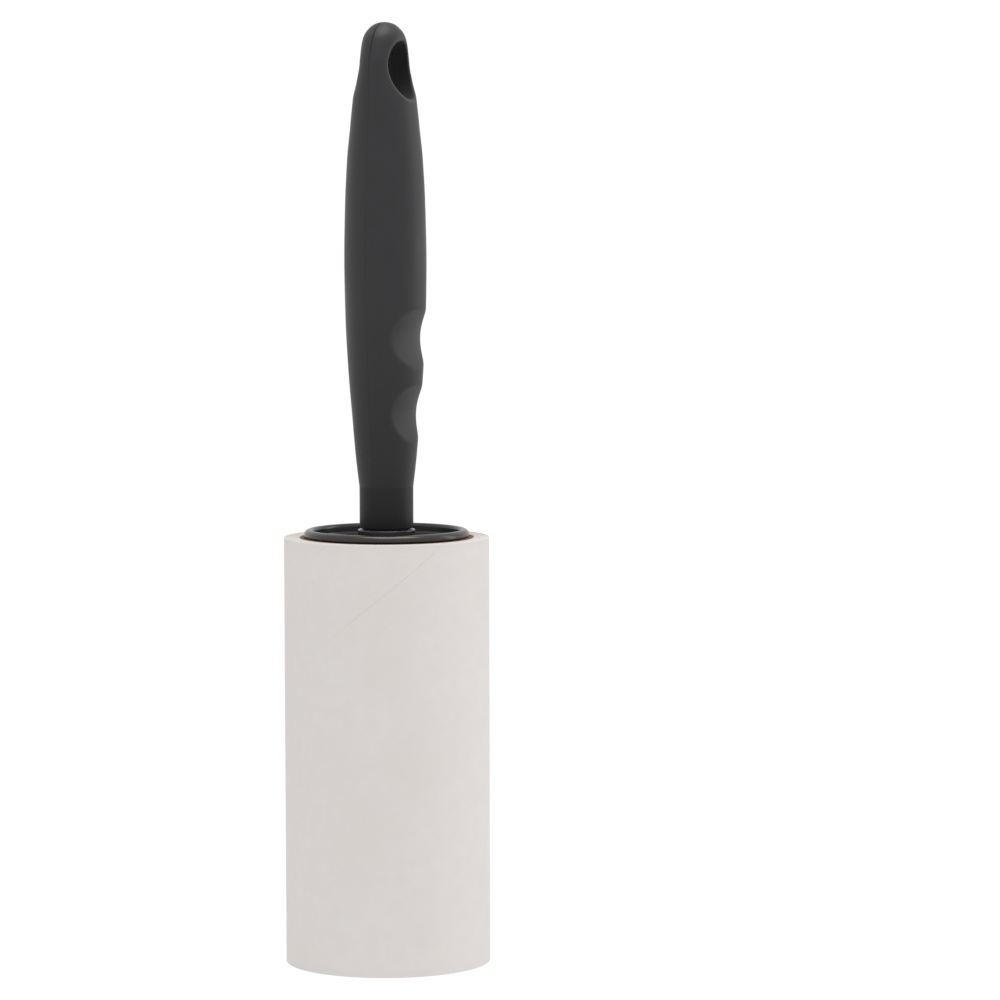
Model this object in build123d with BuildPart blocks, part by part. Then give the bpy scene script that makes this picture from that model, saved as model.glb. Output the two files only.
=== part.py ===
from build123d import *
import os
from math import degrees, radians, tan

# A hand lint roller that stands on the free end of its roll. All sizes are in millimetres.
# +Z runs up the spindle from the roll to the hanging loop, and Z = 0 is the plane the roll stands on.
# The hanging hole runs along Y, and the finger grooves are on the grip's -Y side.

# ---- Refill: paper sheets wound on a cardboard core ----
roll_length = 101.6
core_bore_d = 38.1
core_wall = 1.65
stack_depth = 3.5        # wound sheets under the outermost one
sheet_t = 0.2            # outermost sheet
seam_slope = 38.5        # degrees between the sheet's diagonal edge and the roll's end
seam_top_angle = 241.0   # direction, in degrees from +X, of those edges at the roll's top end
seam_width = 0.4         # slit between the two diagonal edges of the outermost sheet

# ---- Fits ----
fit_gap = 0.05           # radial gap between pieces that are pressed or glued together
run_gap = 0.05           # radial gap between the rod and what turns on it
core_gap = 0.20          # radial gap between the frame and the core's bore
finger_gap = 0.05        # radial gap between the spring fingers' bumps and the core's bore
axial_play = 0.20        # end play of the turning frame at each end
seat_gap = 0.10          # gap between the flange's rim and the end of the core

# ---- Spindle, its bushes and what retains them ----
rod_d = 5.0
rod_end_gap = 2.4        # height of the rod's lower end above the standing plane
rod_in_grip = 38.0       # length of rod inside the grip
rod_chamfer = 0.6
bush_wall = 2.0
bush_length = 8.0
bush_flange_w = 1.0
bush_flange_t = 1.0
washer_d = 10.0
washer_t = 0.6
clip_d = 9.2
clip_t = 0.8
clip_groove_depth = 0.5
clip_mouth = 3.6
pin_d = 2.5
pin_length = 12.0
pin_chamfer = 0.4
pin_drop = 6.0           # depth of the cross pin below the rod's top end

# ---- Turning frame ----
hub_wall = 2.25
hub_length = 12.3        # length of the flange's hub and of the end cap's boss
collar_height = 1.9      # how far the hub stands above the roll's end
rim_lap = 0.6            # how far the rim reaches past the core's bore
rim_width = 2.2
rim_height = 1.9
dish_depth = 2.5         # depth of the flange's dish below its rim
plate_t = 1.6
skirt_wall = 1.6
skirt_length = 6.0
cage_wall = 1.6
fin_t = 1.6
fin_count = 8
ring_t = 1.6
ring_count = 5
end_cap_recess = 1.0     # height of the end cap above the standing plane
end_plate_t = 2.2
finger_count = 4
finger_width = 7.0
finger_t = 1.2
finger_length = 14.0
finger_bump_height = 2.4

# ---- Neck and grip ----
neck_d = 12.8
neck_length = 9.9
tang_d = 9.6
tang_length = 26.0
key_groove_depth = 0.8   # groove round the tang that a rib of the grip bites into
key_height = 13.0        # height of that groove above the grip's lower end
grip_length = 109.8
grip_belly_d = 19.5
grip_wall = 1.8
rib_t = 1.6
pin_block_t = 6.0
boss_d = 6.0
peg_d = 3.0
peg_length = 3.5
loop_height = 18.3       # height of the loop, from the lower end of the hole's flank to the tip
loop_arm = 2.7           # width of the loop beside the hole
loop_thickness = 10.5
hole_width = 10.1
hole_height = 13.6
hole_drop = 11.4         # depth of the hole's centre below the tip
groove_bow = 20.0        # radius of a finger groove's floor, seen from above
groove_arc = 11.2        # radius of a finger groove, seen from the side
groove_depth = 2.5

# The grip's swell from neck to belly: (share of the body's length, share of the swell).
body_swell = [(0.0, 0.0), (0.075, 0.24), (0.175, 0.47), (0.305, 0.75), (0.435, 0.93), (0.585, 1.0),
              (0.735, 0.92), (0.845, 0.77)]
# The loop's sections: (depth below the tip, share of the loop's half width, and of its half depth).
loop_form = [(24.5, 1.08, 1.55), (18.3, 1.04, 1.41), (13.7, 1.03, 1.18), (9.7, 0.99, 1.03),
             (6.3, 0.88, 0.98), (3.7, 0.76, 0.90), (1.7, 0.55, 0.70), (0.5, 0.33, 0.42), (0.0, 0.08, 0.10)]
# Finger grooves: (share of the body's length above the grip's lower end, the body's swell there).
groove_places = [(0.186, 0.56), (0.384, 0.86)]

# ---- Sizes and places that follow ----
core_r = core_bore_d / 2 + core_wall
stack_r = core_r + stack_depth
roll_r = stack_r + sheet_t

rod_r = rod_d / 2
bush_r = rod_r + run_gap + bush_wall
bush_flange_r = bush_r + bush_flange_w
hub_bore_r = bush_r + fit_gap
hub_r = hub_bore_r + hub_wall
pocket_r = bush_flange_r + fit_gap

collar_top = roll_length + collar_height
rim_top = roll_length + rim_height
rim_r = core_bore_d / 2 + rim_lap
dish_floor = rim_top - dish_depth
plate_bottom = dish_floor - plate_t
frame_r = core_bore_d / 2 - core_gap
skirt_inner_r = frame_r - skirt_wall
hub_bottom = collar_top - hub_length

neck_bottom = collar_top + axial_play + fit_gap
upper_washer_bottom = neck_bottom - washer_t
upper_bush_top = upper_washer_bottom - axial_play

end_plate_top = end_cap_recess + end_plate_t
boss_top = end_cap_recess + hub_length + bush_flange_t
lower_bush_bottom = boss_top - bush_length - bush_flange_t
lower_washer_bottom = lower_bush_bottom - axial_play - washer_t
clip_bottom = lower_washer_bottom - clip_t
cage_r = hub_r + fit_gap + cage_wall
skirt_bottom = roll_length - skirt_length
finger_r = frame_r - fit_gap
finger_bump_r = core_bore_d / 2 - finger_gap
finger_top = end_plate_top + finger_length
finger_arc = degrees(finger_width / finger_r)
first_ring = finger_top + ring_t
last_ring = skirt_bottom - 2 * ring_t
ring_bottoms = [first_ring + (last_ring - first_ring) * ring / (ring_count - 1) for ring in range(ring_count)]

grip_bottom = neck_bottom + neck_length
grip_top = grip_bottom + grip_length
body_length = grip_length - loop_height
rod_top = grip_bottom + rod_in_grip
pin_height = rod_top - pin_drop
hole_mid = grip_top - hole_drop
loop_half_width = hole_width / 2 + loop_arm
tang_r = tang_d / 2
tang_top = grip_bottom + tang_length
key_r = tang_r - key_groove_depth
key_bottom = grip_bottom + key_height
hollow_top = grip_bottom + body_swell[-1][0] * body_length
mid_rib_bottom = (rod_top + hollow_top - rib_t) / 2
peg_heights = [rod_top + (hollow_top - rod_top) * share for share in (0.25, 0.75)]


def band(r_in, r_out, z_low, z_high, mode=Mode.ADD):
    """A rectangle of a revolved profile: radii r_in to r_out, heights z_low to z_high."""
    with Locations(((r_in + r_out) / 2, (z_low + z_high) / 2)):
        Rectangle(r_out - r_in, z_high - z_low, mode=mode)


def write(piece, name):
    """Labels a finished piece and writes it to its own file."""
    piece.part.label = name
    export_step(piece.part, f"parts/{name}.step")


def body_half(share_of_swell):
    """Half the grip's thickness where it has this share of its swell."""
    return (neck_d + share_of_swell * (grip_belly_d - neck_d)) / 2


os.makedirs("parts", exist_ok=True)

# ---- Refill ----
with BuildPart() as cardboard_core:
    with BuildSketch(Plane.XZ):
        band(core_bore_d / 2, core_r, 0, roll_length)
    revolve(axis=Axis.Z)
write(cardboard_core, "cardboard_core")

with BuildPart() as wound_sheets:
    with BuildSketch(Plane.XZ):
        band(core_r, stack_r, 0, roll_length)
    revolve(axis=Axis.Z)
write(wound_sheets, "wound_sheets")

# The outermost sheet goes once round, and its two diagonal edges face each other across a helical slit.
seam_turn = degrees(roll_length / tan(radians(seam_slope)) / roll_r)
with BuildSketch(Plane.XY) as seam_section:
    with PolarLocations(stack_r + sheet_t / 2, 1, seam_top_angle - seam_turn):
        Rectangle(3 * sheet_t, seam_width)
seam_slit = Solid.extrude_linear_with_rotation(
    seam_section.sketch.faces()[0], (0, 0, 0), (0, 0, roll_length), seam_turn)
with BuildPart() as outer_sheet:
    with BuildSketch(Plane.XZ):
        band(stack_r, roll_r, 0, roll_length)
    revolve(axis=Axis.Z)
    add(seam_slit, mode=Mode.SUBTRACT)
write(outer_sheet, "outer_sheet")

# ---- Turning frame ----
# The flange's hub plugs into the cage's tube, its skirt into the core, and its rim laps the core's end.
with BuildPart() as flange_cap:
    with BuildSketch(Plane.XZ) as flange_profile:
        band(hub_bore_r, hub_r, hub_bottom, collar_top)
        band(hub_r, frame_r, plate_bottom, dish_floor)
        band(skirt_inner_r, frame_r, skirt_bottom, roll_length + seat_gap)
        band(rim_r - rim_width, rim_r, roll_length + seat_gap, rim_top)
        band(0, pocket_r, upper_bush_top - bush_flange_t, collar_top, mode=Mode.SUBTRACT)
        outer_corners = flange_profile.vertices().filter_by(lambda corner: corner.X > hub_r + fit_gap)
        fillet(outer_corners.group_by(Axis.Y)[-1], radius=rim_width * 0.4)
    revolve(axis=Axis.Z)
write(flange_cap, "flange_cap")

upper_flange_bottom = upper_bush_top - bush_flange_t
bush_places = [("upper_bush", upper_flange_bottom, upper_flange_bottom - bush_length),
               ("lower_bush", lower_bush_bottom, lower_bush_bottom + bush_flange_t)]
for bush_name, flange_bottom, body_bottom in bush_places:
    with BuildPart() as bush:
        with BuildSketch(Plane.XZ):
            band(rod_r + run_gap, bush_flange_r, flange_bottom, flange_bottom + bush_flange_t)
            band(rod_r + run_gap, bush_r, body_bottom, body_bottom + bush_length)
        revolve(axis=Axis.Z)
    write(bush, bush_name)

# The cage is a tube with fins and rings that fill the core's bore, notched for the flange's skirt.
with BuildPart() as cage:
    with BuildSketch(Plane.XY.offset(end_plate_top)):
        Circle(cage_r)
        with PolarLocations(frame_r / 2, fin_count):
            Rectangle(frame_r, fin_t)
    extrude(amount=plate_bottom - end_plate_top)
    for ring_bottom in ring_bottoms:
        with BuildSketch(Plane.XY.offset(ring_bottom)):
            Circle(frame_r)
        extrude(amount=ring_t)
    with BuildSketch(Plane.XZ):
        band(0, hub_r + fit_gap, end_plate_top, plate_bottom)
        band(skirt_inner_r - fit_gap, frame_r + fin_t, skirt_bottom - fit_gap, plate_bottom)
    revolve(axis=Axis.Z, mode=Mode.SUBTRACT)
write(cage, "cage")

# The end cap's boss plugs into the cage's tube, and its spring fingers grip the core between the fins.
with BuildPart() as end_cap:
    with BuildSketch(Plane.XZ):
        band(hub_bore_r, hub_r, end_cap_recess, boss_top)
        band(hub_r, frame_r, end_cap_recess, end_plate_top)
        band(0, pocket_r, end_cap_recess, lower_bush_bottom + bush_flange_t, mode=Mode.SUBTRACT)
    revolve(axis=Axis.Z)
    for finger in range(finger_count):
        middle = 360 / fin_count / 2 + 360 / finger_count * finger
        with BuildSketch(Plane.XZ.rotated((0, 0, middle - finger_arc / 2))):
            with BuildLine():
                Polyline(
                    (finger_r - finger_t, end_plate_top - fit_gap),
                    (finger_r, end_plate_top - fit_gap),
                    (finger_r, finger_top - finger_bump_height),
                    (finger_bump_r, finger_top - finger_bump_height / 2),
                    (finger_r, finger_top),
                    (finger_r - finger_t, finger_top),
                    close=True)
            make_face()
        revolve(axis=Axis.Z, revolution_arc=finger_arc)
write(end_cap, "end_cap")

# ---- Spindle and what rides with the handle ----
with BuildPart() as spindle_rod:
    with BuildSketch(Plane.XZ) as rod_profile:
        band(0, rod_r, rod_end_gap, rod_top)
        band(rod_r - clip_groove_depth, rod_r, clip_bottom - fit_gap, clip_bottom + clip_t + fit_gap,
             mode=Mode.SUBTRACT)
    revolve(axis=Axis.Z)
    chamfer(spindle_rod.edges().filter_by(GeomType.CIRCLE).group_by(Axis.Z)[-1], length=rod_chamfer)
    with Locations((0, 0, pin_height)):
        Cylinder(pin_d / 2 + fit_gap, 2 * rod_d, rotation=(0, 90, 0), mode=Mode.SUBTRACT)
write(spindle_rod, "spindle_rod")

with BuildPart() as cross_pin:
    with Locations((0, 0, pin_height)):
        Cylinder(pin_d / 2, pin_length, rotation=(0, 90, 0))
    chamfer(cross_pin.edges().filter_by(GeomType.CIRCLE), length=pin_chamfer)
write(cross_pin, "cross_pin")

for washer_name, washer_bottom in [("upper_washer", upper_washer_bottom), ("lower_washer", lower_washer_bottom)]:
    with BuildPart() as washer:
        with BuildSketch(Plane.XY.offset(washer_bottom)):
            Circle(washer_d / 2)
            Circle(rod_r + run_gap, mode=Mode.SUBTRACT)
        extrude(amount=washer_t)
    write(washer, washer_name)

with BuildPart() as retaining_clip:
    with BuildSketch(Plane.XY.offset(clip_bottom)):
        Circle(clip_d / 2)
        Circle(rod_r - clip_groove_depth + fit_gap, mode=Mode.SUBTRACT)
        with Locations((clip_d / 2, 0)):
            Rectangle(clip_d, clip_mouth, mode=Mode.SUBTRACT)
    extrude(amount=clip_t)
write(retaining_clip, "retaining_clip")

# ---- Neck and grip ----
with BuildPart() as neck:
    with BuildSketch(Plane.XZ):
        band(rod_r + fit_gap, neck_d / 2, neck_bottom, grip_bottom)
        band(rod_r + fit_gap, tang_r, grip_bottom, tang_top)
        band(key_r, tang_r, key_bottom - fit_gap, key_bottom + rib_t + fit_gap, mode=Mode.SUBTRACT)
    revolve(axis=Axis.Z)
write(neck, "neck")

body_sections = [(grip_bottom + share * body_length, body_half(swell), body_half(swell))
                 for share, swell in body_swell]
loop_sections = [(grip_top - depth, wide * loop_half_width, thick * loop_thickness / 2)
                 for depth, wide, thick in loop_form]
# A groove is the inside of a ring laid round a centre behind the grip, so its floor bows outwards.
groove_centres = [(0, groove_depth + groove_bow - body_half(swell), grip_bottom + share * body_length)
                  for share, swell in groove_places]

# The hollow inside the grip, where ribs, the cross pin's block, peg bosses and a wall behind each
# finger groove are left standing.
with BuildPart() as grip_hollow:
    for height, half_width, half_depth in body_sections[1:]:
        with BuildSketch(Plane.XY.offset(height)):
            Ellipse(half_width - grip_wall, half_depth - grip_wall)
    loft()
    for rib_bottom, rib_height in [(key_bottom, rib_t), (tang_top - rib_t, rib_t),
                                   (pin_height - pin_block_t / 2, pin_block_t), (mid_rib_bottom, rib_t)]:
        with Locations((0, 0, rib_bottom + rib_height / 2)):
            Box(grip_belly_d, grip_belly_d, rib_height, mode=Mode.SUBTRACT)
    for peg_height in peg_heights:
        with Locations((0, 0, peg_height)):
            Cylinder(boss_d / 2, grip_belly_d, rotation=(90, 0, 0), mode=Mode.SUBTRACT)
    for groove_centre in groove_centres:
        with Locations(groove_centre):
            Torus(groove_bow + groove_arc, groove_arc + grip_wall, mode=Mode.SUBTRACT)

with BuildPart() as grip:
    for height, half_width, half_depth in body_sections + loop_sections:
        with BuildSketch(Plane.XY.offset(height)):
            Ellipse(half_width, half_depth)
    loft()
    add(grip_hollow.part, mode=Mode.SUBTRACT)
    with BuildSketch(Plane.XZ.offset(-grip_belly_d / 2)):
        with Locations((0, hole_mid)):
            Ellipse(hole_width / 2, hole_height / 2)
    extrude(amount=grip_belly_d, mode=Mode.SUBTRACT)
    with BuildSketch(Plane.XZ):
        band(0, tang_r + fit_gap, grip_bottom, key_bottom)
        band(0, key_r + fit_gap, key_bottom, key_bottom + rib_t)
        band(0, tang_r + fit_gap, key_bottom + rib_t, tang_top + fit_gap)
        band(0, rod_r + fit_gap, tang_top, rod_top + fit_gap)
    revolve(axis=Axis.Z, mode=Mode.SUBTRACT)
    with Locations((0, 0, pin_height)):
        Cylinder(pin_d / 2 + fit_gap, pin_length + 2 * fit_gap, rotation=(0, 90, 0), mode=Mode.SUBTRACT)
    for groove_centre in groove_centres:
        with Locations(groove_centre):
            Torus(groove_bow + groove_arc, groove_arc, mode=Mode.SUBTRACT)

with BuildPart() as grip_front_shell:
    add(grip.part)
    split(bisect_by=Plane.XZ, keep=Keep.TOP)
    for peg_height in peg_heights:
        with Locations((0, -peg_length / 2, peg_height)):
            Cylinder(peg_d / 2 + fit_gap, peg_length + 2 * fit_gap, rotation=(90, 0, 0), mode=Mode.SUBTRACT)
write(grip_front_shell, "grip_front_shell")

with BuildPart() as grip_back_shell:
    add(grip.part)
    split(bisect_by=Plane.XZ, keep=Keep.BOTTOM)
    for peg_height in peg_heights:
        with Locations((0, -peg_length / 2, peg_height)):
            Cylinder(peg_d / 2, peg_length, rotation=(90, 0, 0))
write(grip_back_shell, "grip_back_shell")
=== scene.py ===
import math

import bmesh
import bpy
import numpy as np
from mathutils import Euler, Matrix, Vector


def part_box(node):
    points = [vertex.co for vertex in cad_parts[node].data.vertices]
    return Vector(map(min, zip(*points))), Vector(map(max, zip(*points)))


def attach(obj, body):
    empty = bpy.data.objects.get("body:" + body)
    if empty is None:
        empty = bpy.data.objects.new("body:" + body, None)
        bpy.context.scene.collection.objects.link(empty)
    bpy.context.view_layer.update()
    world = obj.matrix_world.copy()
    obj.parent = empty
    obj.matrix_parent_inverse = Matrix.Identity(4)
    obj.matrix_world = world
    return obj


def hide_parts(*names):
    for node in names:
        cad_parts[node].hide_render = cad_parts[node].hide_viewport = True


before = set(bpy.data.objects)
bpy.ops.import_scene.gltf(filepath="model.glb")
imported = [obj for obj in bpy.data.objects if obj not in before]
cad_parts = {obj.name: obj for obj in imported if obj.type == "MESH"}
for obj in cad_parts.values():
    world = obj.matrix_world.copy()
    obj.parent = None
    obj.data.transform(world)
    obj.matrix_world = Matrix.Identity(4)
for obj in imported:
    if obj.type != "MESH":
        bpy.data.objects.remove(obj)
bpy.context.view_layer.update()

# A hand lint roller that stands on its paper roll. Lengths are in millimetres in the shape code and
# become metres when a mesh is made. +Z runs up the spindle, and the hanging hole runs along Y.

MM = 0.001


def node_box(node):
    """Lowest and highest corner of a CAD node, in millimetres."""
    low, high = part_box(node)
    return [c / MM for c in low], [c / MM for c in high]


# ---------------------------------------------------------------- sizes
ROLL_TOP = node_box("cardboard_core")[1][2]
CORE_R = node_box("cardboard_core")[1][0]
STACK_R = node_box("wound_sheets")[1][0]
ROLL_R = node_box("outer_sheet")[1][0]
CORE_WALL = 1.65
PLY_COUNT = 4
CORE_LEAD = 52.0         # rise of the board's winding in one turn
BORE_R = CORE_R - CORE_WALL

RIM_R = node_box("flange_cap")[1][0]
HUB_BOTTOM = node_box("flange_cap")[0][2]
COLLAR_TOP = node_box("flange_cap")[1][2]
HUB_R = 6.85
HUB_BORE_R = 4.6
POCKET_R = 5.65
FRAME_R = node_box("cage")[1][0]
BUSH_FLANGE_TOP = node_box("upper_bush")[1][2]

NECK_R = node_box("neck")[1][0]
NECK_BOTTOM = node_box("neck")[0][2]
TANG_TOP = node_box("neck")[1][2]
ROD_R = 2.5

GRIP_BOTTOM = node_box("grip_front_shell")[0][2]
GRIP_TOP = node_box("grip_front_shell")[1][2]
LOOP_HEIGHT = 18.3
BODY_LENGTH = GRIP_TOP - GRIP_BOTTOM - LOOP_HEIGHT
BELLY_R = 9.75
HOLE_HALF_WIDTH = 5.05
HOLE_HALF_HEIGHT = 6.8
HOLE_MID = GRIP_TOP - 11.4
LOOP_HALF_WIDTH = HOLE_HALF_WIDTH + 2.7
LOOP_HALF_DEPTH = 5.25
GROOVE_BOW = 20.0
GROOVE_ARC = 11.2
GROOVE_DEPTH = 2.5
RIM_ROUND = 1.0          # blend between the skin and the hole's wall
GROOVE_ROUND = 0.45      # blend between the skin and a finger groove

GRIP_PITCH = 0.40        # size of the grip's mesh cells
SLOPE_STEP = 0.02        # step over which the field's slope is taken
LARGEST_MOVE = 0.4       # how far a mesh point may move towards the surface at a time
RELAX_SHARE = 0.6        # how far a mesh point moves towards its neighbours' middle at a time
PARTING_GAP = 0.01       # half the gap between the two halves
PARTING_WIDTH = 0.16     # half the width of the parting line's chamfer
PARTING_DEPTH = 0.22     # depth of the parting line at the tip
PARTING_FADE = 14.0      # length over which it gets shallower below the tip
PARTING_LEAST = 0.12     # share of that depth that stays along the rest of the grip

LAYER_COUNT = 30
LAYER_PITCH = (STACK_R - CORE_R) / LAYER_COUNT
STACK_INNER_R = CORE_R + 0.02
LAYER_WAVE = 0.025       # half the height by which a layer's edge rises and falls round the roll
SEAM_SLOPE = math.tan(math.radians(38.5))
SEAM_TOP_ANGLE = math.radians(241)    # direction of the outermost sheet's edge at the roll's top end
SEAM_GAP = 0.015         # half the gap between the sheet's two diagonal edges
EDGE_LIFT = 0.02         # how far the sheet's free edge stands off the roll
EDGE_LIFT_RUN = 1.2      # length over which it lies down again
CREASE_COUNT = 12        # pressure lines of the sheets below, in one turn

# The grip's swell from neck to belly: (share of the body's length, share of the swell).
BODY_SWELL = [(0.0, 0.0), (0.075, 0.24), (0.175, 0.47), (0.305, 0.75), (0.435, 0.93), (0.585, 1.0),
              (0.735, 0.92), (0.845, 0.77)]
# The loop's sections: (depth below the tip, share of the loop's half width, and of its half depth).
LOOP_FORM = [(24.5, 1.08, 1.55), (18.3, 1.04, 1.41), (13.7, 1.03, 1.18), (9.7, 0.99, 1.03),
             (6.3, 0.88, 0.98), (3.7, 0.76, 0.90), (1.7, 0.55, 0.70), (0.5, 0.33, 0.42)]
# Finger grooves: (share of the body's length above the grip's lower end, the body's swell there).
GROOVES = [(0.186, 0.56), (0.384, 0.86)]


# ---------------------------------------------------------------- mesh helpers
def link_piece(name, mesh, sharp_angle):
    """A piece from a mesh in metres, shaded smooth but for edges sharper than the angle."""
    mesh.polygons.foreach_set("use_smooth", [True] * len(mesh.polygons))
    mesh.set_sharp_from_angle(angle=math.radians(sharp_angle))
    piece = bpy.data.objects.new(name, mesh)
    bpy.context.scene.collection.objects.link(piece)
    return piece


def closed_piece(name, verts, faces, sharp_angle):
    """A closed piece from vertices in millimetres, with every face looking outwards."""
    mesh = bpy.data.meshes.new(name)
    mesh.from_pydata([tuple(c * MM for c in v) for v in verts], [], faces)
    mesh.validate()
    made = bmesh.new()
    made.from_mesh(mesh)
    bmesh.ops.remove_doubles(made, verts=made.verts, dist=1e-7)
    bmesh.ops.recalc_face_normals(made, faces=made.faces)
    made.to_mesh(mesh)
    made.free()
    return link_piece(name, mesh, sharp_angle)


def finish_piece(piece, body, node, material):
    """Gives a built piece its body and material, and hides the CAD node it stands in for."""
    piece.data.materials.append(material)
    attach(piece, body)
    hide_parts(node)


def rounded(corners, steps=5):
    """The closed outline through (r, z, radius) corners, each corner an arc of its own radius."""
    points = []
    for i, (r, z, radius) in enumerate(corners):
        here = Vector((r, z))
        before = Vector(corners[i - 1][:2]) - here
        after = Vector(corners[(i + 1) % len(corners)][:2]) - here
        half_turn = before.angle(after) / 2
        run = radius / math.tan(half_turn)
        start = here + before.normalized() * run
        end = here + after.normalized() * run
        middle = (before.normalized() + after.normalized()).normalized()
        centre = here + middle * radius / math.sin(half_turn)
        a = start - centre
        b = end - centre
        sweep = a.angle(b)
        for step in range(steps + 1):
            t = step / steps
            blend = (a * math.sin((1 - t) * sweep) + b * math.sin(t * sweep)) / math.sin(sweep)
            points.append(tuple(centre + blend))
    return points


def lathe(name, outline, segments=192, wobble=None, sharp_angle=32.0):
    """A closed outline of (r, z) points turned about Z. wobble(angle, r, z) may move a point's r and z."""
    verts = []
    for s in range(segments):
        angle = 2 * math.pi * s / segments
        for r, z in outline:
            if wobble:
                r, z = wobble(angle, r, z)
            verts.append((r * math.cos(angle), r * math.sin(angle), z))
    count = len(outline)
    faces = []
    for s in range(segments):
        here, there = s * count, (s + 1) % segments * count
        for i in range(count):
            j = (i + 1) % count
            faces.append((here + i, here + j, there + j, there + i))
    return closed_piece(name, verts, faces, sharp_angle)


# ---------------------------------------------------------------- the grip's surface as a field
def smooth_curve(xs, ys, x):
    """Values at x of a smooth curve through the points, without overshoot, straight on past its ends."""
    xs, ys = np.asarray(xs, float), np.asarray(ys, float)
    steps = np.diff(xs)
    slopes = np.diff(ys) / steps
    tangents = np.empty_like(ys)
    tangents[0], tangents[-1] = slopes[0], slopes[-1]
    for i in range(1, len(xs) - 1):
        before, after = slopes[i - 1], slopes[i]
        tangents[i] = 0.0 if before * after <= 0 else 2 * before * after / (before + after)
    i = np.clip(np.searchsorted(xs, x) - 1, 0, len(steps) - 1)
    t = (x - xs[i]) / steps[i]
    inside = np.clip(t, 0, 1)
    t2, t3 = inside ** 2, inside ** 3
    y = ((2 * t3 - 3 * t2 + 1) * ys[i] + (t3 - 2 * t2 + inside) * steps[i] * tangents[i]
         + (3 * t2 - 2 * t3) * ys[i + 1] + (t3 - t2) * steps[i] * tangents[i + 1])
    before = np.where(t < 0, t * steps[i] * tangents[i], 0)
    after = np.where(t > 1, (t - 1) * steps[i] * tangents[i + 1], 0)
    return y + before + after


def body_half(swell):
    """Half the grip's thickness where it has this share of its swell."""
    return NECK_R + swell * (BELLY_R - NECK_R)


def grip_sections():
    """Heights, squared half widths and squared ratios of width to depth, up to the tip."""
    heights = [GRIP_BOTTOM + share * BODY_LENGTH for share, _ in BODY_SWELL]
    widths = [body_half(swell) ** 2 for _, swell in BODY_SWELL]
    ratios = [1.0] * len(BODY_SWELL)
    for depth, wide, thick in LOOP_FORM:
        heights.append(GRIP_TOP - depth)
        widths.append((wide * LOOP_HALF_WIDTH) ** 2)
        ratios.append((wide * LOOP_HALF_WIDTH / (thick * LOOP_HALF_DEPTH)) ** 2)
    heights.append(GRIP_TOP)
    widths.append(0.0)
    ratios.append(ratios[-1])
    return heights, widths, ratios


SECTIONS = grip_sections()
GROOVE_CENTRES = [(GROOVE_DEPTH + GROOVE_BOW - body_half(swell), GRIP_BOTTOM + share * BODY_LENGTH)
                  for share, swell in GROOVES]


def smooth_max(a, b, width):
    """The larger of two fields, with a rounded edge of about this width where they meet."""
    near = np.maximum(width - np.abs(a - b), 0) / width
    return np.maximum(a, b) + near ** 2 * width / 4


def grip_field(p):
    """About the distance of points (n, 3) from the grip's surface, negative inside."""
    x, y, z = p[:, 0], p[:, 1], p[:, 2]
    heights, widths, ratios = SECTIONS
    width = smooth_curve(heights, widths, z)
    ratio = smooth_curve(heights, ratios, z)
    step = 0.05
    rise = smooth_curve(heights, widths, z + step) - smooth_curve(heights, widths, z - step)
    width_slope = rise / (2 * step)
    skin = x ** 2 + y ** 2 * ratio - width
    grade = np.sqrt((2 * x) ** 2 + (2 * y * ratio) ** 2 + width_slope ** 2)
    field = skin / np.maximum(grade, 2.0)
    u, w = x / HOLE_HALF_WIDTH, (z - HOLE_MID) / HOLE_HALF_HEIGHT
    hole = (u ** 2 + w ** 2 - 1) / np.maximum(2 * np.hypot(u / HOLE_HALF_WIDTH, w / HOLE_HALF_HEIGHT), 0.1)
    field = smooth_max(field, -hole, RIM_ROUND)
    for centre_y, centre_z in GROOVE_CENTRES:
        ring = np.hypot(x, y - centre_y) - (GROOVE_BOW + GROOVE_ARC)
        groove = np.hypot(ring, z - centre_z) - GROOVE_ARC
        field = smooth_max(field, -groove, GROOVE_ROUND)
    return field


def slope(points, field):
    """The field's slope at the points, (n, 3)."""
    return np.stack([(field(points + e) - field(points - e)) / (2 * SLOPE_STEP)
                     for e in np.eye(3) * SLOPE_STEP], axis=1)


def settle(points, field, rounds=6):
    """Moves points onto the field's zero surface."""
    for _ in range(rounds):
        value = field(points)
        grad = slope(points, field)
        size = np.maximum((grad ** 2).sum(axis=1), 0.05)
        points = points - grad * np.clip(value, -LARGEST_MOVE, LARGEST_MOVE)[:, None] / size[:, None]
    return points


def relax(points, quads, field, rounds=5):
    """Spreads a closed quad mesh's points evenly over the field's zero surface."""
    here, there = quads.ravel(), np.roll(quads, -1, axis=1).ravel()
    count = np.bincount(here, minlength=len(points))[:, None]
    for _ in range(rounds):
        total = np.zeros_like(points)
        np.add.at(total, here, points[there])
        points = settle((1 - RELAX_SHARE) * points + RELAX_SHARE * total / count, field, rounds=2)
    return settle(points, field, rounds=3)


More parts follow.
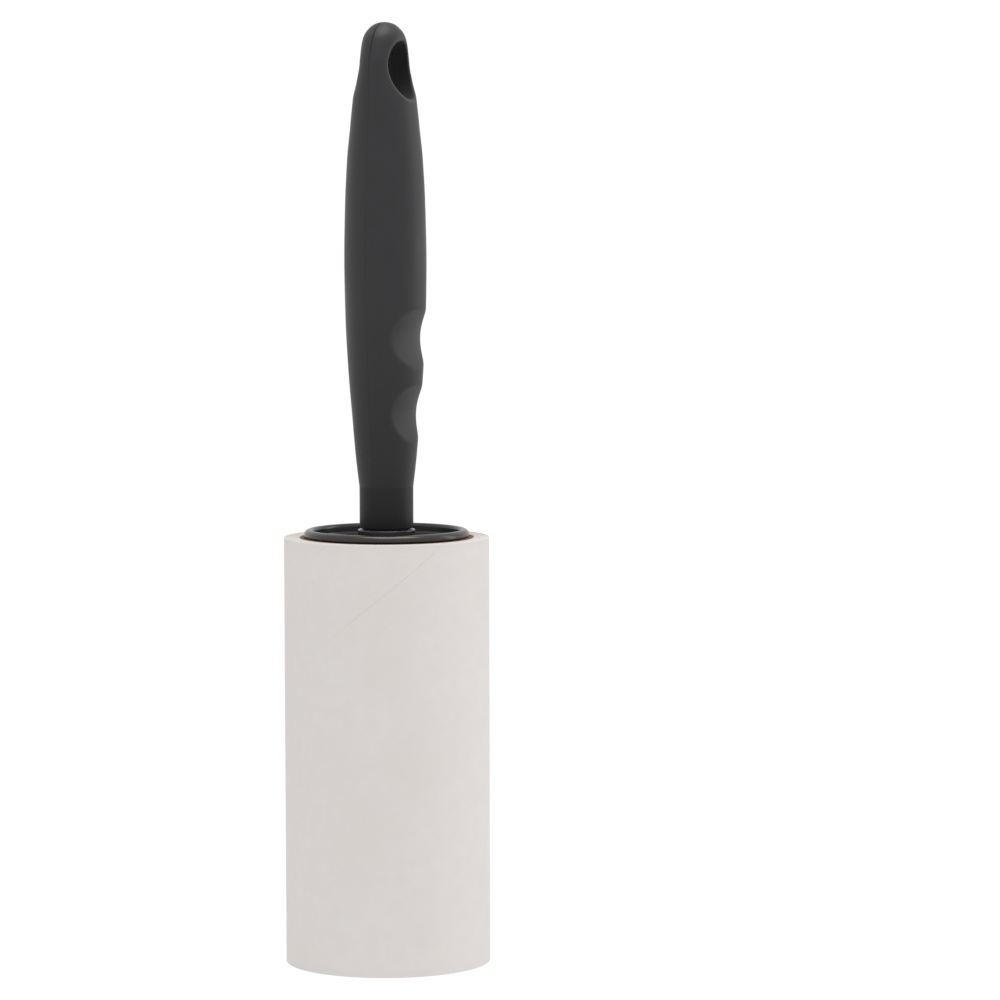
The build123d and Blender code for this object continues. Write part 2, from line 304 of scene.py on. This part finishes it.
def skin_mesh(field, low, high, pitch):
    """Vertices and quads of the field's zero surface inside a box: one vertex in each cell it crosses."""
    axes = [np.arange(a, b + pitch, pitch) for a, b in zip(low, high)]
    grid = np.stack(np.meshgrid(*axes, indexing="ij"), axis=-1)
    shape = grid.shape[:3]
    inside = (field(grid.reshape(-1, 3)) < 0).reshape(shape)
    cells = tuple(n - 1 for n in shape)
    corners = np.zeros(cells, int)
    for dx in (0, 1):
        for dy in (0, 1):
            for dz in (0, 1):
                corners += inside[dx:dx + cells[0], dy:dy + cells[1], dz:dz + cells[2]]
    crossed = (corners > 0) & (corners < 8)
    index = np.full(cells, -1)
    index[crossed] = np.arange(crossed.sum())
    verts = grid[:-1, :-1, :-1][crossed] + pitch / 2
    faces = []
    for axis in range(3):
        first, second = [a for a in range(3) if a != axis]
        a = np.moveaxis(inside, (axis, first, second), (0, 1, 2))
        cell = np.moveaxis(index, (axis, first, second), (0, 1, 2))
        change = a[:-1, 1:-1, 1:-1] != a[1:, 1:-1, 1:-1]
        i, j, k = np.nonzero(change)
        quad = np.stack([cell[i, j, k], cell[i, j + 1, k], cell[i, j + 1, k + 1], cell[i, j, k + 1]], axis=1)
        out = a[:-1, 1:-1, 1:-1][i, j, k]
        flip = out if axis != 1 else ~out
        quad[flip] = quad[flip][:, ::-1]
        faces.append(quad[(quad >= 0).all(axis=1)])
    return verts, np.concatenate(faces)


def grip_half(name, side):
    """One half of the grip, on the side of the parting plane where y has this sign."""
    margin = 1.2
    low = (-BELLY_R - margin, -BELLY_R - margin, GRIP_BOTTOM - margin)
    high = (BELLY_R + margin, BELLY_R + margin, GRIP_TOP + margin)
    verts, faces = skin_mesh(grip_field, low, high, GRIP_PITCH)
    verts = relax(settle(verts, grip_field), faces, grip_field)
    made = bmesh.new()
    corners = [made.verts.new(v) for v in verts]
    for face in faces:
        made.faces.new([corners[i] for i in face])
    planes = [((0, side * PARTING_GAP, 0), (0, -side, 0), True),
              ((0, side * PARTING_WIDTH, 0), (0, -side, 0), False),
              ((0, 0, GRIP_BOTTOM), (0, 0, -1), True)]
    for point, normal, cut in planes:
        bmesh.ops.bisect_plane(made, geom=made.verts[:] + made.edges[:] + made.faces[:], dist=1e-4,
                               plane_co=point, plane_no=normal, clear_outer=cut)
    edge = [v for v in made.verts if abs(v.co.y - side * PARTING_GAP) < 1e-3]
    spots = np.array([v.co for v in edge])
    grad = slope(spots, grip_field)
    grad[:, 1] = 0
    grad /= np.maximum(np.linalg.norm(grad, axis=1), 0.2)[:, None]
    depth = PARTING_DEPTH * np.clip(1 - (GRIP_TOP - spots[:, 2]) / PARTING_FADE, PARTING_LEAST, 1)
    for v, g, d in zip(edge, grad, depth):
        if v.co.z > GRIP_BOTTOM + 0.01:
            v.co -= Vector(g * d)
    open_edges = [e for e in made.edges if e.is_boundary]
    bmesh.ops.triangle_fill(made, edges=open_edges, use_beauty=True)
    bmesh.ops.recalc_face_normals(made, faces=made.faces)
    mesh = bpy.data.meshes.new(name)
    for v in made.verts:
        v.co *= MM
    made.to_mesh(mesh)
    made.free()
    return link_piece(name, mesh, sharp_angle=60)


# ---------------------------------------------------------------- materials
class Shader:
    """Builds one procedural material, with its coordinates in millimetres on the piece."""

    def __init__(self, name):
        self.material = bpy.data.materials.new(name)
        self.material.use_nodes = True
        self.nodes = self.material.node_tree.nodes
        self.links = self.material.node_tree.links
        self.surface = self.nodes["Principled BSDF"]
        place = self.nodes.new("ShaderNodeTexCoord").outputs["Object"]
        self.place = self.vector("SCALE", place, scale=1 / MM)
        self.height = None

    def vector(self, operation, a, b=None, scale=None):
        node = self.nodes.new("ShaderNodeVectorMath")
        node.operation = operation
        self.feed(node.inputs[0], a)
        if b is not None:
            self.feed(node.inputs[1], b)
        if scale is not None:
            node.inputs["Scale"].default_value = scale
        return node.outputs[0]

    def feed(self, socket, value):
        if isinstance(value, bpy.types.NodeSocket):
            self.links.new(value, socket)
        else:
            socket.default_value = value

    def math(self, operation, *values):
        node = self.nodes.new("ShaderNodeMath")
        node.operation = operation
        for socket, value in zip(node.inputs, values):
            self.feed(socket, value)
        return node.outputs[0]

    def axes(self):
        node = self.nodes.new("ShaderNodeSeparateXYZ")
        self.links.new(self.place, node.inputs[0])
        return node.outputs["X"], node.outputs["Y"], node.outputs["Z"]

    def radius(self):
        """Distance from the Z axis."""
        x, y, _ = self.axes()
        return self.math("SQRT", self.math("ADD", self.math("MULTIPLY", x, x), self.math("MULTIPLY", y, y)))

    def combine(self, x, y, z):
        node = self.nodes.new("ShaderNodeCombineXYZ")
        for socket, value in zip(node.inputs, (x, y, z)):
            self.feed(socket, value)
        return node.outputs[0]

    def noise(self, size, detail=3.0, rough=0.5, distort=0.0, place=None, stretch=None):
        """Noise from 0 to 1 whose blotches are about this many millimetres across."""
        node = self.nodes.new("ShaderNodeTexNoise")
        source = place or self.place
        if stretch:
            source = self.vector("MULTIPLY", source, stretch)
        self.links.new(source, node.inputs["Vector"])
        node.inputs["Scale"].default_value = 1 / size
        node.inputs["Detail"].default_value = detail
        node.inputs["Roughness"].default_value = rough
        node.inputs["Distortion"].default_value = distort
        return node.outputs["Fac"]

    def cells(self, size):
        """Distance to the nearest of many points that are about this many millimetres apart."""
        node = self.nodes.new("ShaderNodeTexVoronoi")
        self.links.new(self.place, node.inputs["Vector"])
        node.inputs["Scale"].default_value = 1 / size
        return node.outputs["Distance"]

    def span(self, value, low, high, to_low=0.0, to_high=1.0, smooth=False):
        """The value's range from low to high, clamped and mapped to a new one."""
        node = self.nodes.new("ShaderNodeMapRange")
        node.interpolation_type = "SMOOTHSTEP" if smooth else "LINEAR"
        self.feed(node.inputs["Value"], value)
        for name, number in (("From Min", low), ("From Max", high), ("To Min", to_low), ("To Max", to_high)):
            node.inputs[name].default_value = number
        return node.outputs["Result"]

    def mix(self, share, a, b):
        """Colour a, with this share of colour b."""
        node = self.nodes.new("ShaderNodeMix")
        node.data_type = "RGBA"
        self.feed(node.inputs["Factor"], share)
        for socket, value in ((node.inputs[6], a), (node.inputs[7], b)):
            self.feed(socket, (*value, 1.0) if isinstance(value, tuple) else value)
        return node.outputs[2]

    def raise_by(self, value, height):
        """Adds a relief: value from 0 to 1 times this height in millimetres."""
        part = self.math("MULTIPLY", value, height)
        self.height = part if self.height is None else self.math("ADD", self.height, part)

    def finish(self, colour, roughness, **fixed):
        """Wires the colour, roughness and relief, sets the fixed inputs and gives the material."""
        self.links.new(colour, self.surface.inputs["Base Color"])
        self.links.new(roughness, self.surface.inputs["Roughness"])
        for name, value in fixed.items():
            self.surface.inputs[name.replace("_", " ")].default_value = value
        if self.height is not None:
            bump = self.nodes.new("ShaderNodeBump")
            bump.inputs["Strength"].default_value = 1.0
            bump.inputs["Distance"].default_value = MM
            self.links.new(self.height, bump.inputs["Height"])
            self.links.new(bump.outputs["Normal"], self.surface.inputs["Normal"])
        return self.material


def grip_material():
    """Charcoal soft-touch plastic: fine grain, faint mottling, rubbed smoother where it is held; painted
    shade near the neck and in the hole, and a painted highlight round the hole's rim.
    """
    s = Shader("soft_touch_charcoal")
    x, _, z = s.axes()
    grain = s.noise(0.22, detail=2.0, rough=0.6)
    pits = s.cells(0.34)
    mottle = s.noise(9.0, detail=4.0, rough=0.55)
    held = s.math("MULTIPLY", s.span(z, GRIP_BOTTOM + 4, GRIP_BOTTOM + 25, smooth=True),
                  s.span(z, GRIP_TOP - 40, GRIP_TOP - 22, 1.0, 0.0, smooth=True))
    rubbed = s.math("MULTIPLY", held, s.span(s.noise(14.0, detail=2.0), 0.40, 0.68, smooth=True))
    colour = s.mix(s.span(mottle, 0.3, 0.7), (0.0166, 0.0148, 0.0171), (0.0218, 0.0197, 0.0223))
    # Painted shade: the grip's colour darkens towards the neck, as shade near the flange.
    painted_neck_shade = s.span(z, GRIP_BOTTOM, GRIP_BOTTOM + 45, 0.9, 0.0, smooth=True)
    colour = s.mix(painted_neck_shade, colour, (0.0080, 0.0074, 0.0083))
    colour = s.mix(s.math("MULTIPLY", s.span(grain, 0.35, 0.75), 0.35), colour, (0.040, 0.038, 0.041))
    colour = s.mix(s.math("MULTIPLY", rubbed, 0.25), colour, (0.019, 0.018, 0.020))
    dust = s.math("MULTIPLY", s.span(s.cells(2.6), 0.0, 0.045, 1.0, 0.0), s.span(s.noise(7.0), 0.55, 0.62))
    colour = s.mix(s.math("MULTIPLY", dust, 0.25), colour, (0.12, 0.12, 0.12))
    across = s.math("DIVIDE", x, HOLE_HALF_WIDTH)
    along = s.math("DIVIDE", s.math("SUBTRACT", z, HOLE_MID), HOLE_HALF_HEIGHT)
    from_middle = s.math("ADD", s.math("MULTIPLY", across, across), s.math("MULTIPLY", along, along))
    in_hole = s.span(from_middle, 1.01, 1.08, 1.0, 0.0, smooth=True)
    # Painted shade: the plastic inside the hanging hole is darkened; the same mask also makes it rougher
    # below.
    colour = s.mix(in_hole, colour, (0.0045, 0.0042, 0.0046))
    # Painted highlight: a lighter band round the hanging hole's rim, varied by the mottling.
    rim = s.math("MULTIPLY", s.span(from_middle, 1.04, 1.12, smooth=True),
                 s.span(from_middle, 1.20, 1.36, 1.0, 0.0, smooth=True))
    painted_rim_highlight = s.math("MULTIPLY", rim, s.span(mottle, 0.25, 0.75, 0.45, 0.75))
    colour = s.mix(painted_rim_highlight, colour, (0.054, 0.052, 0.055))
    s.raise_by(grain, 0.010)
    s.raise_by(s.span(pits, 0.0, 0.5), 0.006)
    s.raise_by(s.noise(2.2, detail=1.0), 0.012)
    rough = s.math("SUBTRACT", s.span(mottle, 0.2, 0.8, 0.45, 0.54), s.math("MULTIPLY", rubbed, 0.06))
    rough = s.math("ADD", rough, s.math("MULTIPLY", in_hole, 0.25))
    return s.finish(colour, rough, Specular_IOR_Level=0.42, Sheen_Weight=0.05, Sheen_Roughness=0.5)


def neck_material():
    """The same charcoal plastic, moulded smoother and painted darker than the grip as shade near the flange,
    with fine lines along the draw.
    """
    s = Shader("neck_charcoal")
    lines = s.noise(0.5, detail=2.0, stretch=(1.0, 1.0, 0.04))
    mottle = s.noise(5.0, detail=3.0)
    grain = s.noise(0.2, detail=2.0)
    # Painted shade: these tones are darker than the grip's, as shade near the flange.
    colour = s.mix(mottle, (0.0126, 0.0120, 0.0131), (0.0184, 0.0176, 0.0191))
    colour = s.mix(s.math("MULTIPLY", s.span(grain, 0.4, 0.8), 0.3), colour, (0.020, 0.019, 0.021))
    s.raise_by(lines, 0.004)
    s.raise_by(grain, 0.007)
    return s.finish(colour, s.span(mottle, 0.2, 0.8, 0.40, 0.48), Specular_IOR_Level=0.24)


def flange_material():
    """Glossy near-black plastic with faint turned marks, fine scratches and a little dust in the dish."""
    s = Shader("flange_gloss_black")
    _, _, z = s.axes()
    radius = s.radius()
    rings = s.noise(0.35, detail=2.0, place=s.combine(radius, 0.0, z))
    scratch = s.noise(1.2, detail=4.0, rough=0.7, distort=1.5, stretch=(1.0, 6.0, 1.0))
    flow = s.noise(6.0, detail=2.0)
    colour = s.mix(flow, (0.015, 0.0125, 0.013), (0.023, 0.019, 0.020))
    dust = s.span(s.cells(0.9), 0.0, 0.06, 1.0, 0.0)
    low = s.span(z, ROLL_TOP - 0.6, ROLL_TOP + 0.4, 1.0, 0.0)
    colour = s.mix(s.math("MULTIPLY", s.math("MULTIPLY", dust, low), 0.35), colour, (0.20, 0.19, 0.18))
    s.raise_by(rings, 0.0015)
    s.raise_by(flow, 0.010)
    rough = s.math("ADD", s.span(scratch, 0.45, 0.75, 0.16, 0.28), s.math("MULTIPLY", rings, 0.05))
    return s.finish(colour, rough, Specular_IOR_Level=0.6)


def frame_material():
    """Satin near-black moulded plastic with flow marks and ejector haze."""
    s = Shader("frame_satin_black")
    flow = s.noise(7.0, detail=4.0, distort=1.2, stretch=(1.0, 1.0, 0.4))
    grain = s.noise(0.3, detail=2.0)
    scuff = s.span(s.noise(1.6, detail=5.0, rough=0.7, stretch=(1.0, 1.0, 0.15)), 0.60, 0.78)
    colour = s.mix(flow, (0.018, 0.017, 0.019), (0.029, 0.028, 0.030))
    colour = s.mix(s.math("MULTIPLY", scuff, 0.3), colour, (0.075, 0.073, 0.075))
    s.raise_by(grain, 0.006)
    s.raise_by(flow, 0.015)
    rough = s.math("ADD", s.span(flow, 0.2, 0.8, 0.34, 0.46), s.math("MULTIPLY", scuff, 0.15))
    return s.finish(colour, rough, Specular_IOR_Level=0.45)


def around(s, radius):
    """Distance round a cylinder of this radius, in millimetres, from its -Y side."""
    x, y, _ = s.axes()
    return s.math("MULTIPLY", s.math("ARCTAN2", x, s.math("MULTIPLY", y, -1.0)), radius)


def paper_material():
    """Off-white coated paper: fibre, faint cloudiness, and diagonal pressure lines of the sheets below, with
    painted shade along them.
    """
    s = Shader("coated_paper")
    _, _, z = s.axes()
    run = around(s, ROLL_R)
    fibre = s.noise(0.30, detail=4.0, rough=0.65, stretch=(1.0, 1.0, 0.5))
    cloud = s.noise(3.2, detail=4.0, rough=0.6)
    broad = s.noise(26.0, detail=2.0)
    colour = s.mix(s.span(cloud, 0.25, 0.75), (0.802, 0.757, 0.742), (0.835, 0.792, 0.778))
    yellowed = s.math("MULTIPLY", s.span(broad, 0.40, 0.70, smooth=True), 0.55)
    colour = s.mix(yellowed, colour, (0.798, 0.742, 0.706))
    colour = s.mix(s.math("MULTIPLY", s.span(fibre, 0.55, 0.80), 0.22), colour, (0.69, 0.650, 0.628))
    period = 2 * math.pi * ROLL_R * SEAM_SLOPE / CREASE_COUNT
    turn = s.math("DIVIDE", s.math("SUBTRACT", z, s.math("MULTIPLY", run, SEAM_SLOPE)), period)
    phase = s.math("ABSOLUTE", s.math("SUBTRACT", s.math("FRACT", s.math("ADD", turn, 0.30)), 0.5))
    line = s.span(phase, 0.0, 0.035, 1.0, 0.0, smooth=True)
    shown = s.span(s.noise(15.0, detail=2.0, distort=0.4), 0.50, 0.66, smooth=True)
    upper = s.span(z, ROLL_TOP * 0.45, ROLL_TOP * 0.85, 0.25, 1.0, smooth=True)
    crease = s.math("MULTIPLY", s.math("MULTIPLY", line, shown), upper)
    # Painted shade: the pressure lines are also darkened in colour, beside their dent.
    colour = s.mix(s.math("MULTIPLY", crease, 0.10), colour, (0.55, 0.52, 0.50))
    s.raise_by(crease, -0.020)
    s.raise_by(s.span(phase, 0.0, 0.5, smooth=True), 0.010)
    edge = s.math("MINIMUM", z, s.math("SUBTRACT", ROLL_TOP, z))
    handled = s.math("MULTIPLY", s.span(edge, 0.0, 2.5, 1.0, 0.0, smooth=True), s.span(cloud, 0.3, 0.8))
    colour = s.mix(s.math("MULTIPLY", handled, 0.18), colour, (0.60, 0.56, 0.53))
    s.raise_by(fibre, 0.0035)
    s.raise_by(s.noise(18.0, detail=1.0), 0.10)
    return s.finish(colour, s.span(cloud, 0.2, 0.8, 0.48, 0.60), Specular_IOR_Level=0.35, Sheen_Weight=0.05,
                    Subsurface_Weight=0.06, Subsurface_Scale=0.0005)


def stack_material():
    """The wound sheets' end: fine rings of paper edges, off white with darker glue lines between them."""
    s = Shader("paper_edges")
    radius = s.radius()
    layer = s.math("FRACT", s.math("DIVIDE", s.math("SUBTRACT", radius, CORE_R), LAYER_PITCH))
    glue = s.span(s.math("ABSOLUTE", s.math("SUBTRACT", layer, 0.5)), 0.30, 0.50, smooth=True)
    cloud = s.noise(2.6, detail=4.0)
    fibre = s.noise(0.12, detail=3.0)
    colour = s.mix(s.span(cloud, 0.25, 0.75), (0.66, 0.615, 0.585), (0.74, 0.695, 0.665))
    colour = s.mix(s.math("MULTIPLY", glue, 0.30), colour, (0.50, 0.45, 0.40))
    colour = s.mix(s.math("MULTIPLY", s.span(fibre, 0.5, 0.8), 0.25), colour, (0.60, 0.55, 0.52))
    s.raise_by(glue, -0.010)
    s.raise_by(fibre, 0.008)
    return s.finish(colour, s.span(cloud, 0.2, 0.8, 0.62, 0.75), Specular_IOR_Level=0.3)


def cardboard_material():
    """Brown spiral-wound board: long fibres along the wind, a helical seam, darker specks, layered ends."""
    s = Shader("spiral_wound_board")
    _, _, z = s.axes()
    radius = s.radius()
    run = around(s, CORE_R)
    turn = s.math("SUBTRACT", s.math("DIVIDE", z, CORE_LEAD), s.math("DIVIDE", run, 2 * math.pi * CORE_R))
    phase = s.math("ABSOLUTE", s.math("SUBTRACT", s.math("FRACT", turn), 0.5))
    seam = s.span(phase, 0.0, 0.010, 1.0, 0.0, smooth=True)
    fibre = s.noise(0.5, detail=5.0, rough=0.7, stretch=(1.0, 1.0, 0.35))
    specks = s.span(s.cells(1.1), 0.0, 0.16, 1.0, 0.0)
    cloud = s.noise(6.0, detail=4.0)
    ply = s.math("FRACT", s.math("DIVIDE", s.math("SUBTRACT", radius, BORE_R), CORE_WALL / PLY_COUNT))
    plies = s.span(s.math("ABSOLUTE", s.math("SUBTRACT", ply, 0.5)), 0.36, 0.5, smooth=True)
    colour = s.mix(s.span(cloud, 0.25, 0.75), (0.150, 0.088, 0.052), (0.225, 0.140, 0.086))
    colour = s.mix(s.math("MULTIPLY", s.span(fibre, 0.45, 0.75), 0.5), colour, (0.30, 0.20, 0.13))
    colour = s.mix(s.math("MULTIPLY", specks, 0.5), colour, (0.07, 0.040, 0.024))
    colour = s.mix(s.math("MULTIPLY", s.math("MAXIMUM", seam, s.math("MULTIPLY", plies, 0.6)), 0.6), colour,
                   (0.060, 0.035, 0.021))
    s.raise_by(fibre, 0.020)
    s.raise_by(seam, -0.08)
    s.raise_by(plies, -0.03)
    return s.finish(colour, s.span(fibre, 0.2, 0.8, 0.80, 0.92), Specular_IOR_Level=0.25)


def metal_material(name, dark, light, roughness, lines):
    """Drawn or rolled metal: fine lines, a little tarnish and scattered nicks."""
    s = Shader(name)
    drawn = s.noise(0.12, detail=3.0, stretch=lines)
    cloud = s.noise(3.0, detail=4.0)
    nicks = s.span(s.cells(1.3), 0.0, 0.07, 1.0, 0.0)
    colour = s.mix(s.span(drawn, 0.3, 0.7), dark, light)
    colour = s.mix(s.math("MULTIPLY", s.span(cloud, 0.5, 0.8), 0.4), colour, tuple(c * 0.7 for c in dark))
    s.raise_by(drawn, 0.003)
    s.raise_by(nicks, -0.006)
    return s.finish(colour, s.math("ADD", s.span(drawn, 0.2, 0.8, roughness, roughness + 0.12),
                                   s.math("MULTIPLY", cloud, 0.08)), Metallic=1.0)


def nylon_material():
    """Black nylon: waxy and faintly cloudy, with machining rings."""
    s = Shader("black_nylon")
    rings = s.noise(0.12, detail=2.0, place=s.combine(s.radius(), 0.0, 0.0))
    cloud = s.noise(2.0, detail=4.0)
    specks = s.span(s.cells(1.4), 0.0, 0.06, 1.0, 0.0)
    colour = s.mix(cloud, (0.012, 0.012, 0.013), (0.024, 0.023, 0.024))
    colour = s.mix(s.math("MULTIPLY", specks, 0.4), colour, (0.10, 0.10, 0.10))
    s.raise_by(rings, 0.004)
    return s.finish(colour, s.span(cloud, 0.2, 0.8, 0.34, 0.46), Specular_IOR_Level=0.45)


# ---------------------------------------------------------------- pieces
def build_neck():
    """The neck with its tang, one turned moulding with a rib groove round the tang."""
    tang_r, key_r, key_low, key_high = 4.8, 4.0, GRIP_BOTTOM + 12.95, GRIP_BOTTOM + 14.65
    bore = ROD_R + 0.05
    return lathe("neck_moulding", rounded([
        (bore, NECK_BOTTOM, 0.15), (NECK_R, NECK_BOTTOM, 0.35), (NECK_R, GRIP_BOTTOM, 0.04),
        (tang_r, GRIP_BOTTOM, 0.1), (tang_r, key_low, 0.08), (key_r, key_low, 0.08), (key_r, key_high, 0.08),
        (tang_r, key_high, 0.08), (tang_r, TANG_TOP, 0.4), (bore, TANG_TOP, 0.15)]))


def build_flange():
    """The flange: a rounded rim bead on the core's end, a dish, a collar, and a skirt and hub below."""
    rim_top = ROLL_TOP + 1.9
    rim_foot = ROLL_TOP + 0.1
    rim_inner = RIM_R - 2.2
    floor = rim_top - 2.5
    under = floor - 1.6
    skirt_inner = FRAME_R - 1.6
    skirt_bottom = ROLL_TOP - 6.0
    pocket_floor = BUSH_FLANGE_TOP - 1.0
    return lathe("flange_moulding", rounded([
        (HUB_BORE_R, HUB_BOTTOM, 0.2), (HUB_R, HUB_BOTTOM, 0.4), (HUB_R, under, 0.5),
        (skirt_inner, under, 0.5), (skirt_inner, skirt_bottom, 0.3), (FRAME_R, skirt_bottom, 0.6),
        (FRAME_R, rim_foot, 0.05), (RIM_R, rim_foot, 0.4), (RIM_R, rim_top, 1.3),
        (rim_inner, rim_top, 0.8), (rim_inner, floor, 0.7), (HUB_R, floor, 0.45),
        (HUB_R, COLLAR_TOP, 0.3), (POCKET_R, COLLAR_TOP, 0.15), (POCKET_R, pocket_floor, 0.1),
        (HUB_BORE_R, pocket_floor, 0.1)], steps=7), segments=256)


def build_core():
    """The cardboard core, with plies that end a little unevenly."""
    rises = [0.00, -0.05, -0.02, -0.07, 0.0]
    top = [(BORE_R + CORE_WALL / PLY_COUNT * i, ROLL_TOP + rise) for i, rise in enumerate(rises)]
    outline = [(BORE_R, 0.12), (BORE_R + 0.10, 0.0), (CORE_R - 0.05, 0.0), (CORE_R, 0.05)]
    return lathe("core_tube", outline + top[::-1], segments=256)


def build_stack():
    """The wound sheets: each layer's edge stands a little higher or lower than its neighbours'."""
    rng = np.random.default_rng(31)
    rises = rng.uniform(-0.06, 0.0, LAYER_COUNT)
    phases = rng.uniform(0, 2 * math.pi, LAYER_COUNT)
    outline = []
    for layer in range(LAYER_COUNT):
        for share in (0.08, 0.92):
            outline.append((STACK_INNER_R + (layer + share) * LAYER_PITCH, 0.0))
    outline += [(r, ROLL_TOP) for r, _ in reversed(outline)]

    def uneven(angle, r, z):
        layer = min(int((r - STACK_INNER_R) / LAYER_PITCH), LAYER_COUNT - 1)
        rise = rises[layer] + LAYER_WAVE * math.sin(angle + phases[layer]) - LAYER_WAVE
        return r, z + rise if z > ROLL_TOP / 2 else z - rise * 0.3

    return lathe("sheet_stack", outline, segments=256, wobble=uneven, sharp_angle=50)


def build_outer_sheet():
    """The outermost sheet, one turn of paper whose two diagonal edges meet along a helix."""
    inner, outer = STACK_R + 0.03, ROLL_R
    rows, columns = 100, 240
    gap = SEAM_GAP / ROLL_R
    verts, faces = [], []
    for side_r in (inner, outer):
        for row in range(rows + 1):
            z = ROLL_TOP * row / rows
            start = SEAM_TOP_ANGLE - (ROLL_TOP - z) / SEAM_SLOPE / ROLL_R
            for column in range(columns + 1):
                share = column / columns
                angle = start + gap + share * (2 * math.pi - 2 * gap)
                from_edge = share * 2 * math.pi * ROLL_R
                lift = EDGE_LIFT * math.exp(-from_edge / EDGE_LIFT_RUN)
                verts.append(((side_r + lift) * math.cos(angle), (side_r + lift) * math.sin(angle), z))
    stride = columns + 1
    sheet = (rows + 1) * stride
    for row in range(rows):
        for column in range(columns):
            a = row * stride + column
            faces.append((a + sheet, a + 1 + sheet, a + 1 + stride + sheet, a + stride + sheet))
            faces.append((a, a + stride, a + stride + 1, a + 1))
    for column in range(columns):
        for a in (column, rows * stride + column):
            faces.append((a, a + 1, a + 1 + sheet, a + sheet))
    for row in range(rows):
        for a in (row * stride, row * stride + columns):
            faces.append((a, a + stride, a + stride + sheet, a + sheet))
    return closed_piece("top_sheet", verts, faces, sharp_angle=40)


def soften(node, width):
    """Rounds the edges of a CAD node that shows when the refill is off or from below."""
    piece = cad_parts[node]
    weld = piece.modifiers.new("weld", "WELD")
    weld.merge_threshold = 1e-6
    bevel = piece.modifiers.new("edges", "BEVEL")
    bevel.width = width * MM
    bevel.segments = 2
    bevel.limit_method = "ANGLE"
    bevel.angle_limit = math.radians(40)
    bevel.harden_normals = True


def paint(node, material):
    """Gives a CAD node that stays a material of its own."""
    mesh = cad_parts[node].data
    mesh.materials.clear()
    mesh.materials.append(material)


grip = grip_material()
finish_piece(grip_half("grip_front_skin", -1), "handle", "grip_front_shell", grip)
finish_piece(grip_half("grip_back_skin", 1), "handle", "grip_back_shell", grip)
finish_piece(build_neck(), "handle", "neck", neck_material())
finish_piece(build_flange(), "roller_frame", "flange_cap", flange_material())
finish_piece(build_core(), "refill", "cardboard_core", cardboard_material())
finish_piece(build_stack(), "refill", "wound_sheets", stack_material())
finish_piece(build_outer_sheet(), "refill", "outer_sheet", paper_material())

frame_plastic = frame_material()
nylon = nylon_material()
steel = metal_material("drawn_steel", (0.42, 0.42, 0.44), (0.58, 0.58, 0.60), 0.22, (1.0, 1.0, 0.03))
spring_steel = metal_material("blued_spring_steel", (0.16, 0.16, 0.19), (0.24, 0.24, 0.27), 0.32,
                              (1.0, 0.1, 1.0))
for node, material in (("cage", frame_plastic), ("end_cap", frame_plastic), ("upper_bush", nylon),
                       ("lower_bush", nylon), ("upper_washer", nylon), ("lower_washer", nylon),
                       ("spindle_rod", steel), ("cross_pin", steel), ("retaining_clip", spring_steel)):
    paint(node, material)
for node, width in (("cage", 0.25), ("end_cap", 0.3), ("retaining_clip", 0.1), ("lower_bush", 0.15)):
    soften(node, width)


# ---------------------------------------------------------------- light and camera
def add_light(name, azimuth, elevation, distance, size, power):
    """A soft white light aimed at the roller, placed as the camera is: by azimuth and elevation."""
    light = bpy.data.lights.new(name, "AREA")
    light.shape = "RECTANGLE"
    light.size, light.size_y = size
    light.energy = power
    lamp = bpy.data.objects.new(name, light)
    a, e = math.radians(azimuth), math.radians(elevation)
    back = Vector((math.sin(a) * math.cos(e), -math.cos(a) * math.cos(e), math.sin(e)))
    target = Vector((0, 0, GRIP_TOP * MM / 2))
    lamp.location = target + back * distance
    lamp.rotation_euler = (-back).to_track_quat("-Z", "Y").to_euler()
    bpy.context.scene.collection.objects.link(lamp)


TENT_LIGHT = 0.77        # brightness of the surroundings as a light
TENT_SEEN = 1.02         # and as the camera sees them

# Camera lengths are in metres, its angles in degrees and its lens in millimetres.
CAMERA_AZIMUTH = -63.0
CAMERA_DISTANCE = 1.033
CAMERA_HEIGHT = 0.1936
CAMERA_TILT = 4.608
CAMERA_ROLL = -0.13
CAMERA_LENS = 156.9
CAMERA_SIDE = 0.0270     # how far left of the camera's middle line the roller stands


def add_camera():
    """The camera, level with the grip, looking slightly down at the roller's left-front."""
    data = bpy.data.cameras.new("camera")
    data.lens = CAMERA_LENS
    data.sensor_width = 36.0
    camera = bpy.data.objects.new("camera", data)
    a = math.radians(CAMERA_AZIMUTH)
    back = Vector((math.sin(a), -math.cos(a), 0))
    right = Vector((math.cos(a), math.sin(a), 0))
    camera.location = back * CAMERA_DISTANCE + right * CAMERA_SIDE + Vector((0, 0, CAMERA_HEIGHT))
    turn = Euler((math.radians(90 - CAMERA_TILT), 0, a)).to_quaternion()
    roll = Euler((0, 0, math.radians(CAMERA_ROLL))).to_quaternion()
    camera.rotation_mode = "QUATERNION"
    camera.rotation_quaternion = turn @ roll
    bpy.context.scene.collection.objects.link(camera)
    bpy.context.scene.camera = camera


def add_world():
    """Even white surroundings, as in a light tent; seen directly they are pure white."""
    world = bpy.data.worlds.new("tent")
    world.use_nodes = True
    nodes, links = world.node_tree.nodes, world.node_tree.links
    sight = nodes.new("ShaderNodeLightPath")
    strength = nodes.new("ShaderNodeMapRange")
    strength.inputs["To Min"].default_value = TENT_LIGHT
    strength.inputs["To Max"].default_value = TENT_SEEN
    links.new(sight.outputs["Is Camera Ray"], strength.inputs["Value"])
    links.new(strength.outputs["Result"], nodes["Background"].inputs["Strength"])
    nodes["Background"].inputs["Color"].default_value = (1.0, 1.0, 1.0, 1.0)
    bpy.context.scene.world = world


add_world()
add_light("key", CAMERA_AZIMUTH + 105, 14, 1.5, (0.45, 1.3), 2.5)
add_light("top", CAMERA_AZIMUTH + 30, 82, 1.5, (1.1, 1.1), 14)
add_camera()
bpy.context.scene.view_settings.view_transform = "Standard"
